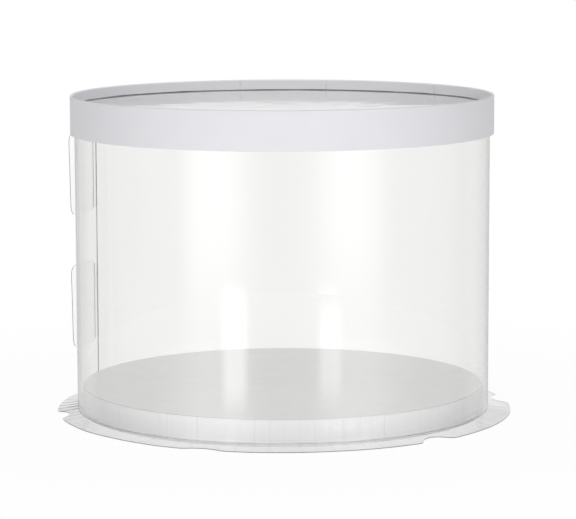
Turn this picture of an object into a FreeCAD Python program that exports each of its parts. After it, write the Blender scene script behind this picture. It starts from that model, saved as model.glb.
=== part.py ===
import FreeCAD, Part
import Sketcher
import os

# A round cake box: a white board platform on a clear notched brim, a clear wall rolled from
# sheet and held shut by two lock tabs, and a white lid with a sunk clear window.
# Millimetres, +Z up, the table at Z = 0 and the axis of the box on Z.

FULL_TURN = 360.0
TOUCH = 0.001
UP = FreeCAD.Vector(0, 0, 1)

SIZES = (
    # clear wall
    ("wall_diameter", 255.0),
    ("wall_height", 185.7),
    ("sheet_thickness", 0.35),
    ("layer_gap", 0.15),
    ("seam_angle", 158.2),
    ("lap_angle", 8.2),
    ("crest_angle", 5.0),
    ("fade_angle", 17.0),
    # lock tabs and their slits
    ("slit_offset", 4.0),
    ("slit_width", 1.6),
    ("slit_ear", 2.0),
    ("neck_gap", 0.4),
    ("neck_bite", 0.5),
    ("hinge_gap", 0.3),
    ("tab_length", 31.0),
    ("tab_round", 6.0),
    ("tab_spacing", 31.5),
    ("tab_lid_gap", 1.5),
    ("tab_floor_gap", 18.5),
    # board platform
    ("platform_gap", 2.75),
    ("platform_height", 16.5),
    ("platform_board", 2.0),
    ("platform_edge_round", 0.7),
    ("band_board", 0.8),
    ("hoop_board", 1.5),
    ("hoop_lift", 5.5),
    ("glue_gap", 0.05),
    # clear brim
    ("brim_overhang", 13.1),
    ("brim_rise", 2.6),
    ("brim_thickness", 0.35),
    ("seat_gap", 0.05),
    ("tooth_count", 90),
    ("tooth_gap", 0.6),
    ("tooth_root", 1.4),
    ("tooth_margin", 2.4),
    ("notch_count", 6),
    ("notch_angle", 10.5),
    ("notch_round", 14.0),
    ("notch_wall_gap", 6.0),
    # lid
    ("lid_height", 23.6),
    ("lid_board", 0.75),
    ("liner_board", 0.8),
    ("liner_inset", 0.6),
    ("lid_clearance", 0.4),
    ("window_thickness", 0.35),
    ("window_clearance", 0.1),
    ("window_recess", 7.0),
    ("hem_gap", 0.7),
)

FITS = (
    # radii of the wall, single layer and lapped layer
    ("wall_outer", "dims.wall_diameter / 2"),
    ("wall_inner", "fits.wall_outer - dims.sheet_thickness"),
    ("wall_middle", "fits.wall_outer - dims.sheet_thickness / 2"),
    ("lap_inner", "fits.wall_outer + dims.layer_gap"),
    ("lap_outer", "fits.lap_inner + dims.sheet_thickness"),
    ("lap_middle", "fits.lap_inner + dims.sheet_thickness / 2"),
    # radii of the platform, its band and the hoop inside it
    ("platform_outer", "fits.wall_inner - dims.platform_gap"),
    ("band_inner", "fits.platform_outer - dims.band_board"),
    ("hoop_outer", "fits.band_inner - dims.glue_gap"),
    ("hoop_inner", "fits.hoop_outer - dims.hoop_board"),
    ("board_bottom", "dims.platform_height - dims.platform_board"),
    ("board_top", "dims.platform_height"),
    ("hoop_bottom", "dims.hoop_lift"),
    # brim, its collar of glue teeth and its ribbon notches
    ("collar_inner", "fits.platform_outer + dims.glue_gap"),
    ("collar_outer", "fits.collar_inner + dims.brim_thickness"),
    ("brim_outer", "fits.wall_outer + dims.brim_overhang"),
    ("brim_edge_top", "dims.brim_thickness"),
    ("bend_bottom", "dims.brim_rise"),
    ("bend_top", "dims.brim_rise + dims.brim_thickness"),
    ("tooth_bottom", "fits.bend_top + dims.tooth_root"),
    ("tooth_top", "fits.board_bottom - dims.tooth_margin"),
    ("gap_inner", "fits.collar_inner - dims.tooth_gap"),
    ("gap_outer", "fits.collar_outer + dims.tooth_gap"),
    ("gap_top", "fits.tooth_top + dims.tooth_gap"),
    ("notch_centre", "fits.wall_outer + dims.notch_wall_gap + dims.notch_round"),
    # heights of the wall, the window and the lid
    ("brim_slope", "dims.brim_rise / (fits.brim_outer - fits.collar_outer)"),
    ("seat", "fits.bend_top - fits.brim_slope * (fits.wall_inner - fits.collar_outer)"),
    ("wall_bottom", "fits.seat + dims.seat_gap"),
    ("wall_top", "fits.wall_bottom + dims.wall_height"),
    ("window_top", "fits.wall_top + dims.window_thickness"),
    ("lid_top", "fits.window_top + dims.window_recess"),
    ("lid_bottom", "fits.lid_top - dims.lid_height"),
    ("fold_height", "fits.lid_top - dims.lid_board"),
    ("hem_bottom", "fits.window_top + dims.hem_gap"),
    ("liner_bottom", "fits.lid_bottom + dims.liner_inset"),
    # radii of the lid, from the lapped wall outwards
    ("liner_inner", "fits.lap_outer + dims.lid_clearance"),
    ("liner_outer", "fits.liner_inner + dims.liner_board"),
    ("lid_inner", "fits.liner_outer + dims.glue_gap"),
    ("lid_outer", "fits.lid_inner + dims.lid_board"),
    ("hem_inner", "fits.lid_inner - dims.lid_board"),
    ("window_outer", "fits.lid_inner - dims.window_clearance"),
    # lock tabs, the upper one under the lid and the lower one over the platform
    ("upper_top", "fits.lid_bottom - dims.tab_lid_gap"),
    ("lower_bottom", "fits.board_top + dims.tab_floor_gap"),
    ("tab_height", "(fits.upper_top - fits.lower_bottom - dims.tab_spacing) / 2"),
    ("upper_bottom", "fits.upper_top - fits.tab_height"),
    ("lower_top", "fits.lower_bottom + fits.tab_height"),
    ("upper_slit_top", "fits.upper_top - dims.slit_ear"),
    ("upper_slit_bottom", "fits.upper_bottom + dims.slit_ear"),
    ("lower_slit_top", "fits.lower_top - dims.slit_ear"),
    ("lower_slit_bottom", "fits.lower_bottom + dims.slit_ear"),
    ("slit_near", "dims.slit_offset - dims.slit_width / 2"),
    ("slit_far", "dims.slit_offset + dims.slit_width / 2"),
    ("neck_start", "-dims.neck_bite"),
    ("neck_near", "dims.slit_offset - dims.sheet_thickness / 2"),
    ("neck_far", "dims.slit_offset + dims.sheet_thickness / 2"),
    ("neck_height", "fits.tab_height - 2 * (dims.slit_ear + dims.neck_gap)"),
    ("tab_inner", "fits.lap_outer + dims.hinge_gap"),
    ("tab_outer", "fits.tab_inner + dims.sheet_thickness"),
    ("tab_start", "dims.slit_offset"),
    ("tab_end", "dims.slit_offset + dims.tab_length"),
)

doc = FreeCAD.newDocument("cake_box")

dims = doc.addObject("Spreadsheet::Sheet", "dims")
for row, (alias, size) in enumerate(SIZES, start=1):
    dims.set(f"A{row}", alias)
    dims.set(f"B{row}", str(size))
    dims.setAlias(f"B{row}", alias)
doc.recompute()

fits = doc.addObject("App::VarSet", "fits")
for name, formula in FITS:
    fits.addProperty("App::PropertyFloat", name, "Fits")
    fits.setExpression(name, formula)
doc.recompute()


def new_body(label, turn=None):
    """A named body, turned about the axis of the box by the angle called turn."""
    body = doc.addObject("PartDesign::Body", label)
    body.Label = label
    body.Placement = FreeCAD.Placement(FreeCAD.Vector(), FreeCAD.Rotation(UP, 0))
    if turn:
        body.Placement = FreeCAD.Placement(FreeCAD.Vector(), FreeCAD.Rotation(UP, dims.get(turn)))
        body.setExpression("Placement.Rotation.Angle", f"dims.{turn} * 1 deg")
    return body


def origin_feature(body, role):
    """The body's own origin plane or axis with this role."""
    for feature in body.Origin.OriginFeatures:
        if feature.Role == role:
            return feature
    raise ValueError(role)


def new_sketch(body, role, name, lift=None):
    """A sketch on one of the body's origin planes, lifted along the plane's normal."""
    sketch = body.newObject("Sketcher::SketchObject", name)
    sketch.AttachmentSupport = (origin_feature(body, role), [""])
    sketch.MapMode = "FlatFace"
    if lift:
        sketch.setExpression("AttachmentOffset.Base.z", lift)
    return sketch


def hold(sketch, kind, geometry, vertex, name):
    """Bind one distance of a vertex from the sketch's origin to a named fit."""
    start = getattr(fits, name)
    index = sketch.addConstraint(Sketcher.Constraint(kind, -1, 1, geometry, vertex, start))
    sketch.setExpression(f"Constraints[{index}]", f"fits.{name}")


def outline(sketch, corners):
    """A closed outline through corners named by their fits, given anticlockwise.

    A corner is (across, up), or (across, up, "round") where the outline runs on to the next
    corner as a half round that bulges outwards. None puts the corner on that axis.
    """
    points = []
    for corner in corners:
        across = getattr(fits, corner[0]) if corner[0] else 0.0
        up = getattr(fits, corner[1]) if corner[1] else 0.0
        points.append(FreeCAD.Vector(across, up, 0))
    first = sketch.GeometryCount
    for index, corner in enumerate(corners):
        here = points[index]
        there = points[(index + 1) % len(points)]
        if len(corner) == 3:
            circle = Part.Circle((here + there) / 2, UP, (there - here).Length / 2)
            start = circle.parameter(here)
            end = circle.parameter(there)
            sketch.addGeometry(Part.ArcOfCircle(circle, start, end))
        else:
            sketch.addGeometry(Part.LineSegment(here, there))
    for index, corner in enumerate(corners):
        line = first + index
        after = first + (index + 1) % len(corners)
        sketch.addConstraint(Sketcher.Constraint("Coincident", line, 2, after, 1))
        if corner[0]:
            hold(sketch, "DistanceX", line, 1, corner[0])
        else:
            sketch.addConstraint(Sketcher.Constraint("PointOnObject", line, 1, -2))
        if corner[1]:
            hold(sketch, "DistanceY", line, 1, corner[1])
        else:
            sketch.addConstraint(Sketcher.Constraint("PointOnObject", line, 1, -1))
        if len(corner) == 3:
            hold(sketch, "DistanceY", line, 3, corner[1])


def block(left, bottom, right, top):
    """The corners of a rectangle, anticlockwise."""
    return ((left, bottom), (right, bottom), (right, top), (left, top))


def revolve(body, corners, name):
    """A ring or disc turned from an outline of (radius, height) corners."""
    sketch = new_sketch(body, "XZ_Plane", f"{name}_outline")
    outline(sketch, corners)
    turned = body.newObject("PartDesign::Revolution", name)
    turned.Profile = sketch
    turned.ReferenceAxis = (sketch, ["V_Axis"])
    turned.Angle = FULL_TURN
    doc.recompute()
    return turned


def pad(body, sketch, length, name):
    """Raise a sketch along its plane's normal by a named fit."""
    raised = body.newObject("PartDesign::Pad", name)
    raised.Profile = sketch
    raised.setExpression("Length", f"fits.{length}")
    doc.recompute()
    return raised


def repeat_round(body, cut, count, name):
    """Repeat a cut all round the axis of the body."""
    pattern = body.newObject("PartDesign::PolarPattern", name)
    pattern.Originals = [cut]
    pattern.Axis = (origin_feature(body, "Z_Axis"), [""])
    pattern.Angle = FULL_TURN
    pattern.setExpression("Occurrences", f"dims.{count}")
    body.Tip = pattern
    doc.recompute()
    must_remove(cut, pattern)
    return pattern


def must_remove(before, after):
    """A cut has to take material away."""
    if after.Shape.Volume >= before.Shape.Volume:
        raise ValueError(f"{after.Name} cuts nothing")


def edges_in(feature, axis, place):
    """Names of the feature's edges that lie in the plane where this axis has this value."""
    names = set()
    for number, edge in enumerate(feature.Shape.Edges, start=1):
        low = getattr(edge.BoundBox, f"{axis}Min")
        high = getattr(edge.BoundBox, f"{axis}Max")
        if abs(low - place) < TOUCH and abs(high - place) < TOUCH:
            names.add(f"Edge{number}")
    return names


def round_edges(body, feature, names, radius, name):
    """Round some edges of a feature by a named size."""
    fillet = body.newObject("PartDesign::Fillet", name)
    fillet.Base = (feature, sorted(names))
    fillet.setExpression("Radius", f"dims.{radius}")
    doc.recompute()
    return fillet


# platform: a laminated disc on a strip of board, with a hoop glued inside under the disc
platform_top = new_body("platform_top")
disc_corners = block(None, "board_bottom", "platform_outer", "board_top")
disc = revolve(platform_top, disc_corners, "disc")
disc_rim = edges_in(disc, "Z", fits.board_top)
round_edges(platform_top, disc, disc_rim, "platform_edge_round", "disc_rim")

platform_band = new_body("platform_band")
band_corners = block("band_inner", None, "platform_outer", "board_bottom")
revolve(platform_band, band_corners, "band_strip")

platform_hoop = new_body("platform_hoop")
hoop_corners = block("hoop_inner", "hoop_bottom", "hoop_outer", "board_bottom")
revolve(platform_hoop, hoop_corners, "hoop_strip")

# brim: a clear skirt that falls from the platform's band to the table, glued to the band by
# a collar of upturned teeth and scooped out at its edge where ribbons cross
brim = new_body("brim", "notch_angle")
skirt_corners = (
    ("collar_inner", "bend_bottom"),
    ("brim_outer", None),
    ("brim_outer", "brim_edge_top"),
    ("collar_outer", "bend_top"),
    ("collar_outer", "tooth_top"),
    ("collar_inner", "tooth_top"),
)
skirt = revolve(brim, skirt_corners, "skirt")

gap_sketch = new_sketch(brim, "XZ_Plane", "tooth_gap_outline")
outline(gap_sketch, block("gap_inner", "tooth_bottom", "gap_outer", "gap_top"))
gap_cut = brim.newObject("PartDesign::Pocket", "tooth_gap")
gap_cut.Profile = gap_sketch
gap_cut.SideType = "Symmetric"
gap_cut.setExpression("Length", "dims.tooth_gap")
doc.recompute()
must_remove(skirt, gap_cut)
gaps = repeat_round(brim, gap_cut, "tooth_count", "tooth_gaps")

notch_sketch = new_sketch(brim, "XY_Plane", "notch_outline")
notch_place = FreeCAD.Vector(fits.notch_centre, 0, 0)
notch_sketch.addGeometry(Part.Circle(notch_place, UP, dims.notch_round))
notch_sketch.addConstraint(Sketcher.Constraint("PointOnObject", 0, 3, -1))
hold(notch_sketch, "DistanceX", 0, 3, "notch_centre")
notch_size = notch_sketch.addConstraint(Sketcher.Constraint("Radius", 0, dims.notch_round))
notch_sketch.setExpression(f"Constraints[{notch_size}]", "dims.notch_round")
notch_cut = brim.newObject("PartDesign::Pocket", "notch")
notch_cut.Profile = notch_sketch
notch_cut.Type = "ThroughAll"
notch_cut.Reversed = True
doc.recompute()
must_remove(gaps, notch_cut)
repeat_round(brim, notch_cut, "notch_count", "notches")

# wall: one clear sheet rolled round, its outer end lapped over its inner end. In the body's
# own frame the inner end lies on +X and the lap, the slits and the necks are just past it
wall_sheet = new_body("wall_sheet", "seam_angle")
roll = new_sketch(wall_sheet, "XY_Plane", "roll_path", "fits.wall_bottom")


def spoke(radius, angle):
    """The point at this radius and this angle in degrees."""
    return FreeCAD.Rotation(UP, angle).multVec(FreeCAD.Vector(radius, 0, 0))


def bend(tangent_point, through, start, end):
    """The arc that leaves a point square to its spoke and passes through another point."""
    reach = through - tangent_point
    outward = FreeCAD.Vector(tangent_point).normalize()
    radius = -reach.dot(reach) / (2 * reach.dot(outward))
    circle = Part.Circle(tangent_point - outward * radius, UP, radius)
    return Part.ArcOfCircle(circle, circle.parameter(start), circle.parameter(end))


turn_middle = (dims.crest_angle + dims.fade_angle) / 2
ring_middle = (fits.lap_middle + fits.wall_middle) / 2
crest_point = spoke(fits.lap_middle, dims.crest_angle)
turn_point = spoke(ring_middle, turn_middle)
fade_point = spoke(fits.wall_middle, dims.fade_angle)
lap_point = spoke(fits.lap_middle, -dims.lap_angle)
end_point = spoke(fits.wall_middle, 0)

lap_circle = Part.Circle(FreeCAD.Vector(), UP, fits.lap_middle)
wall_circle = Part.Circle(FreeCAD.Vector(), UP, fits.wall_middle)
lap_start = lap_circle.parameter(lap_point)
lap_end = lap_circle.parameter(crest_point)
wall_start = wall_circle.parameter(fade_point)
wall_end = wall_circle.parameter(end_point)
lap_arc = roll.addGeometry(Part.ArcOfCircle(lap_circle, lap_start, lap_end))
tight_arc = roll.addGeometry(bend(crest_point, turn_point, crest_point, turn_point))
flat_arc = roll.addGeometry(bend(fade_point, turn_point, turn_point, fade_point))
wall_arc = roll.addGeometry(Part.ArcOfCircle(wall_circle, wall_start, wall_end))

for arc, radius in ((lap_arc, "lap_middle"), (wall_arc, "wall_middle")):
    roll.addConstraint(Sketcher.Constraint("Coincident", arc, 3, -1, 1))
    size = roll.addConstraint(Sketcher.Constraint("Radius", arc, getattr(fits, radius)))
    roll.setExpression(f"Constraints[{size}]", f"fits.{radius}")
roll.addConstraint(Sketcher.Constraint("PointOnObject", wall_arc, 2, -1))
for here, there in ((lap_arc, tight_arc), (tight_arc, flat_arc), (flat_arc, wall_arc)):
    roll.addConstraint(Sketcher.Constraint("Tangent", here, 2, there, 1))

spokes = (
    (lap_arc, lap_point, "-dims.lap_angle * 1 deg"),
    (tight_arc, crest_point, "dims.crest_angle * 1 deg"),
    (flat_arc, turn_point, "(dims.crest_angle + dims.fade_angle) / 2 * 1 deg"),
    (wall_arc, fade_point, "dims.fade_angle * 1 deg"),
)
for arc, point, angle in spokes:
    ray = roll.addGeometry(Part.LineSegment(FreeCAD.Vector(), point), True)
    roll.addConstraint(Sketcher.Constraint("Coincident", ray, 1, -1, 1))
    roll.addConstraint(Sketcher.Constraint("Coincident", ray, 2, arc, 1))
    slope = FreeCAD.Vector(1, 0, 0).getAngle(point)
    if point.y < 0:
        slope = -slope
    aim = roll.addConstraint(Sketcher.Constraint("Angle", ray, slope))
    roll.setExpression(f"Constraints[{aim}]", angle)

sheet_section = new_sketch(wall_sheet, "XZ_Plane", "sheet_section")
outline(sheet_section, block("wall_inner", "wall_bottom", "wall_outer", "wall_top"))
doc.recompute()
rolled = wall_sheet.newObject("PartDesign::AdditivePipe", "rolled_sheet")
rolled.Profile = sheet_section
rolled.Spine = roll
doc.recompute()

slit_sketch = new_sketch(wall_sheet, "YZ_Plane", "slit_outline")
outline(slit_sketch, block("slit_near", "upper_slit_bottom", "slit_far", "upper_slit_top"))
outline(slit_sketch, block("slit_near", "lower_slit_bottom", "slit_far", "lower_slit_top"))
slits = wall_sheet.newObject("PartDesign::Pocket", "slits")
slits.Profile = slit_sketch
slits.Type = "ThroughAll"
slits.Reversed = True
doc.recompute()
must_remove(rolled, slits)

neck_corners = (
    ("wall_inner", "neck_start"),
    ("wall_outer", "neck_start"),
    ("wall_outer", "neck_near"),
    ("lap_outer", "neck_near"),
    ("lap_outer", "neck_far"),
    ("wall_inner", "neck_far"),
)
for level in ("upper", "lower"):
    lift = f"fits.{level}_slit_bottom + dims.neck_gap"
    neck_sketch = new_sketch(wall_sheet, "XY_Plane", f"{level}_neck_outline", lift)
    outline(neck_sketch, neck_corners)
    pad(wall_sheet, neck_sketch, "neck_height", f"{level}_neck")

# lock tabs: flat flaps that stand off the wall outside their slits and swing at the neck
tab_corners = (
    ("tab_inner", "tab_start", "round"),
    ("tab_outer", "tab_start"),
    ("tab_outer", "tab_end"),
    ("tab_inner", "tab_end"),
)
lock_tabs = []
for level in ("upper", "lower"):
    lock_tab = new_body(f"{level}_lock_tab", "seam_angle")
    foot = f"{level}_bottom"
    tab_sketch = new_sketch(lock_tab, "XY_Plane", f"{level}_tab_outline", f"fits.{foot}")
    outline(tab_sketch, tab_corners)
    flap = pad(lock_tab, tab_sketch, "tab_height", f"{level}_flap")
    end_edges = edges_in(flap, "Y", fits.tab_end)
    foot_edges = edges_in(flap, "Z", getattr(fits, foot))
    head_edges = edges_in(flap, "Z", getattr(fits, f"{level}_top"))
    corner_edges = end_edges & (foot_edges | head_edges)
    round_edges(lock_tab, flap, corner_edges, "tab_round", f"{level}_flap_corners")
    lock_tabs.append(lock_tab)

# lid: a strip of board with its top edge folded in as a hem, a liner glued inside it, and a
# clear window that lies on the liner below the hem
lid_band = new_body("lid_band")
lid_corners = (
    ("lid_inner", "lid_bottom"),
    ("lid_outer", "lid_bottom"),
    ("lid_outer", "fold_height", "round"),
    ("hem_inner", "fold_height"),
    ("hem_inner", "hem_bottom"),
    ("lid_inner", "hem_bottom"),
)
revolve(lid_band, lid_corners, "lid_strip")

lid_liner = new_body("lid_liner")
liner_corners = block("liner_inner", "liner_bottom", "liner_outer", "wall_top")
revolve(lid_liner, liner_corners, "liner_strip")

lid_window = new_body("lid_window")
revolve(lid_window, block(None, "wall_top", "window_outer", "window_top"), "window_disc")

doc.recompute()

for item in doc.Objects:
    if "Invalid" in item.State or "Error" in item.State:
        raise ValueError(f"{item.Name} did not compute: {item.State}")

sub_parts = (platform_top, platform_band, platform_hoop, brim, wall_sheet, *lock_tabs,
             lid_band, lid_liner, lid_window)
os.makedirs("parts", exist_ok=True)
for body in sub_parts:
    if body.Shape.isNull() or not body.Shape.isValid():
        raise ValueError(f"{body.Label} has no valid shape")
for body in sub_parts:
    body.Shape.exportStep(f"parts/{body.Label}.step")
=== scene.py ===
import math

import bmesh
import bpy
from mathutils import Euler, Matrix, Vector, noise


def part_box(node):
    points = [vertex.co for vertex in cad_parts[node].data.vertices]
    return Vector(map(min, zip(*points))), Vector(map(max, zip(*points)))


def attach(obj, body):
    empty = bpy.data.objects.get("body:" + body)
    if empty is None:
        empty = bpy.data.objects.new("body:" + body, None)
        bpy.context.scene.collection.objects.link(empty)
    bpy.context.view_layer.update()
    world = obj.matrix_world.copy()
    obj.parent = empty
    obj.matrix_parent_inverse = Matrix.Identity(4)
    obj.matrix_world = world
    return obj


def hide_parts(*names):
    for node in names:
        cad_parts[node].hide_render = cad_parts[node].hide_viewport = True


# A round cake box: a white card lid with a sunk clear window, a clear wall rolled from sheet
# and held by two lock tabs, and a white board platform on a clear brim with ribbon notches.
# Metres, +Z up, the table at Z = 0 and the axis of the box on Z.

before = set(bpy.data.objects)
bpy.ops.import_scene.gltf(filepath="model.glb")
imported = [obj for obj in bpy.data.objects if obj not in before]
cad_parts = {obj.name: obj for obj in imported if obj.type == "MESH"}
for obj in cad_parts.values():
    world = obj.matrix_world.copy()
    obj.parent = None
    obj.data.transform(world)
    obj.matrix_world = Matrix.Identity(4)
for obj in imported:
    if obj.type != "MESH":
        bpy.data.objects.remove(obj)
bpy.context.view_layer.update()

MM = 0.001
TURN = 2 * math.pi


def reach(node):
    """Outer radius, foot and top of a round solid of the frame."""
    low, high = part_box(node)
    return (high.x - low.x) / 2, low.z, high.z


PLATFORM_RADIUS, BOARD_FOOT, BOARD_TOP = reach("platform_top")
HOOP_RADIUS, HOOP_FOOT, HOOP_TOP = reach("platform_hoop")
BRIM_RADIUS, TABLE, TOOTH_TOP = reach("brim")
WALL_RADIUS, WALL_FOOT, WALL_TOP = reach("wall_sheet")
LID_RADIUS, LID_FOOT, LID_TOP = reach("lid_band")
LINER_RADIUS, LINER_FOOT, LINER_TOP = reach("lid_liner")
WINDOW_RADIUS, WINDOW_FOOT, WINDOW_TOP = reach("lid_window")

SHEET = 0.35 * MM
CARD = 0.75 * MM
LINER_CARD = 0.8 * MM
STRIP_CARD = 0.8 * MM
HOOP_CARD = 1.5 * MM
CARD_EDGE = 0.12 * MM
HEM_FOOT = WINDOW_TOP + 0.55 * MM
WINDOW_SAG = 1.2 * MM
WINDOW_HOLD = WINDOW_RADIUS - 4 * MM

SEAM_TURN = math.radians(158.2)
LAP_RAMP = 1.5
LAP_START = 360 - 8.2
CREST_ANGLE = 5.0
FADE_ANGLE = 17.0
LAYER_STEP = 0.5 * MM
FOOT_SHADE_HEIGHT = 0.35 * MM
SLIT_OFFSET = 4.0 * MM
SLIT_WIDTH = 0.7 * MM
SLIT_EAR = 2.0 * MM
NECK_EAR = 2.4 * MM
NECK_BEND = 0.5 * MM
TAB_LENGTH = 31.0 * MM
TAB_ROUND = 6.0 * MM
TAB_MIDDLE = 128.475 * MM
TAB_CURL = {"upper": (0.4 * MM, -0.7 * MM), "lower": (-0.2 * MM, -1.1 * MM)}

COLLAR_INNER = PLATFORM_RADIUS - 0.1 * MM
COLLAR_OUTER = PLATFORM_RADIUS + 0.05 * MM + SHEET
BEND_RISE = 2.6 * MM
TOOTH_FOOT = BEND_RISE + SHEET + 1.4 * MM
TOOTH_COUNT = 90
TOOTH_GAP = 0.5 * MM
COLLAR_FLARE = 0.3 * MM
BEND_RADIUS = COLLAR_OUTER + COLLAR_FLARE
BRIM_SHIFT = 0.8 * MM
NOTCH_COUNT = 6
NOTCH_TURN = math.radians(10.5)
NOTCH_ROUND = 14.0 * MM
NOTCH_CENTRE = WALL_RADIUS + 6.0 * MM + NOTCH_ROUND
SHALLOW_NOTCH = 4
SHALLOW = 0.4
NOTCH_SOFTENING = [math.radians(degrees) for degrees in (-0.8, -0.4, 0.0, 0.4, 0.8)]

HEM_CREASES = (
    (40.6, 0.2, 1.0), (77.2, 0.5, 1.0), (102.5, 0.1, 0.7), (212.0, 0.3, 1.0), (301.0, 0.2, 0.9))


def node(tree, kind, inputs=None, **options):
    """Add a node, set its options, and set or link its inputs by name or place."""
    made = tree.nodes.new(kind)
    for name, value in options.items():
        setattr(made, name, value)
    for key, value in (inputs or {}).items():
        if isinstance(value, bpy.types.NodeSocket):
            tree.links.new(value, made.inputs[key])
        else:
            made.inputs[key].default_value = value
    return made


def maths(tree, operation, first, second=0.0, third=0.0):
    """The result of one Math node."""
    made = node(tree, "ShaderNodeMath", {0: first, 1: second, 2: third}, operation=operation)
    return made.outputs[0]


def between(tree, value, low, high, out_low, out_high, kind="LINEAR"):
    """A value mapped from one range to another and held within it."""
    inputs = {"Value": value, "From Min": low, "From Max": high}
    inputs.update({"To Min": out_low, "To Max": out_high})
    made = node(tree, "ShaderNodeMapRange", inputs, interpolation_type=kind)
    return made.outputs["Result"]


# Materials

MOTTLE_SCALE = 70.0
FIBRE_SCALE = 900.0
FIBRE_STRETCH = (1, 1, 2.5)
FIBRE_DEPTH = 0.1 * MM
COAT_ROUGHNESS = 0.12
CARD_CREASE_SHADE = 0.2

DRIFT_SCALE = 22.0
DRIFT_STRETCH = (1, 1, 0.3)
DRIFT_BUMP = 0.2
DRIFT_DEPTH = 0.1 * MM
SCUFF_SCALE = 160.0
SCUFF_STRETCH = (1, 1, 0.25)
SHEET_CREASE_SHADE = 0.6
OPEN_TINT = (0.99, 0.99, 0.99, 1)

DRAG_SCALE = 700.0
DRAG_STRETCH = (1, 1, 0.2)
DRAG_BUMP = 0.2
DRAG_DEPTH = 0.05 * MM


def new_finish(name):
    """A new material with its node tree and its main shader."""
    material = bpy.data.materials.new(name)
    material.use_nodes = True
    tree = material.node_tree
    return material, tree, tree.nodes["Principled BSDF"]


def noise_value(tree, coords, scale, detail, stretch=(1, 1, 1)):
    """Soft noise from 0 to 1 over stretched coordinates."""
    if stretch != (1, 1, 1):
        coords = node(tree, "ShaderNodeMapping", {"Vector": coords, "Scale": stretch}).outputs[0]
    inputs = {"Vector": coords, "Scale": scale, "Detail": detail}
    return node(tree, "ShaderNodeTexNoise", inputs).outputs["Fac"]


def two_tones(tree, value, dark, light):
    """A colour between a dark and a light tone."""
    ramp = node(tree, "ShaderNodeValToRGB", {"Fac": value})
    ramp.color_ramp.elements[0].position = 0.3
    ramp.color_ramp.elements[0].color = (*dark, 1)
    ramp.color_ramp.elements[1].position = 0.7
    ramp.color_ramp.elements[1].color = (*light, 1)
    return ramp.outputs["Color"]


def scaled(tree, colour, amount):
    """A colour made darker or lighter by a value."""
    inputs = {0: colour, "Scale": amount}
    return node(tree, "ShaderNodeVectorMath", inputs, operation="SCALE").outputs[0]


def crease_shade(tree, darkness):
    """One, less by this darkness where the piece's crease mark is full: painted shade, and painted
    highlight where the mark is below zero.
    """
    pressed = node(tree, "ShaderNodeAttribute", attribute_name="crease").outputs["Fac"]
    return maths(tree, "MULTIPLY_ADD", pressed, -darkness, 1.0)


def add_relief(tree, shader, height, strength, depth):
    """Fine relief on the shader's normal."""
    bump = node(tree, "ShaderNodeBump", {"Height": height, "Strength": strength, "Distance": depth})
    tree.links.new(bump.outputs["Normal"], shader.inputs["Normal"])


def shaded_zone(tree, coords, zone):
    """One, less between two heights and two radii: painted shade in a groove, on a recessed face or
    on a fold's top, and a darker bare board edge.
    """
    low, high, near, far, darkness = zone
    place = node(tree, "ShaderNodeSeparateXYZ", {0: coords}).outputs
    flat = node(tree, "ShaderNodeCombineXYZ", {0: place["X"], 1: place["Y"]}).outputs[0]
    spoke = node(tree, "ShaderNodeVectorMath", {0: flat}, operation="LENGTH").outputs["Value"]
    within = maths(tree, "GREATER_THAN", place["Z"], low)
    within = maths(tree, "MULTIPLY", within, maths(tree, "LESS_THAN", place["Z"], high))
    within = maths(tree, "MULTIPLY", within, maths(tree, "GREATER_THAN", spoke, near))
    within = maths(tree, "MULTIPLY", within, maths(tree, "LESS_THAN", spoke, far))
    return maths(tree, "MULTIPLY_ADD", within, -darkness, 1.0)


def card_material(name, dark, light, smooth, rough, fibre, shine, coat, zones=()):
    """Coated paper board: faint mottling, fine fibre relief and an uneven satin finish."""
    material, tree, shader = new_finish(name)
    coords = node(tree, "ShaderNodeTexCoord").outputs["Object"]
    mottle = noise_value(tree, coords, MOTTLE_SCALE, 5.0)
    grain = noise_value(tree, coords, FIBRE_SCALE, 3.0, FIBRE_STRETCH)
    tone = two_tones(tree, mottle, dark, light)
    # Painted shade from the crease mark, and from the shaded zones below.
    tone = scaled(tree, tone, crease_shade(tree, CARD_CREASE_SHADE))
    for zone in zones:
        tone = scaled(tree, tone, shaded_zone(tree, coords, zone))
    tree.links.new(tone, shader.inputs["Base Color"])
    satin = between(tree, mottle, 0.3, 0.7, smooth, rough)
    tree.links.new(satin, shader.inputs["Roughness"])
    add_relief(tree, shader, grain, fibre, FIBRE_DEPTH)
    shader.inputs["Specular IOR Level"].default_value = shine
    shader.inputs["Coat Weight"].default_value = coat
    shader.inputs["Coat Roughness"].default_value = COAT_ROUGHNESS
    return material


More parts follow.
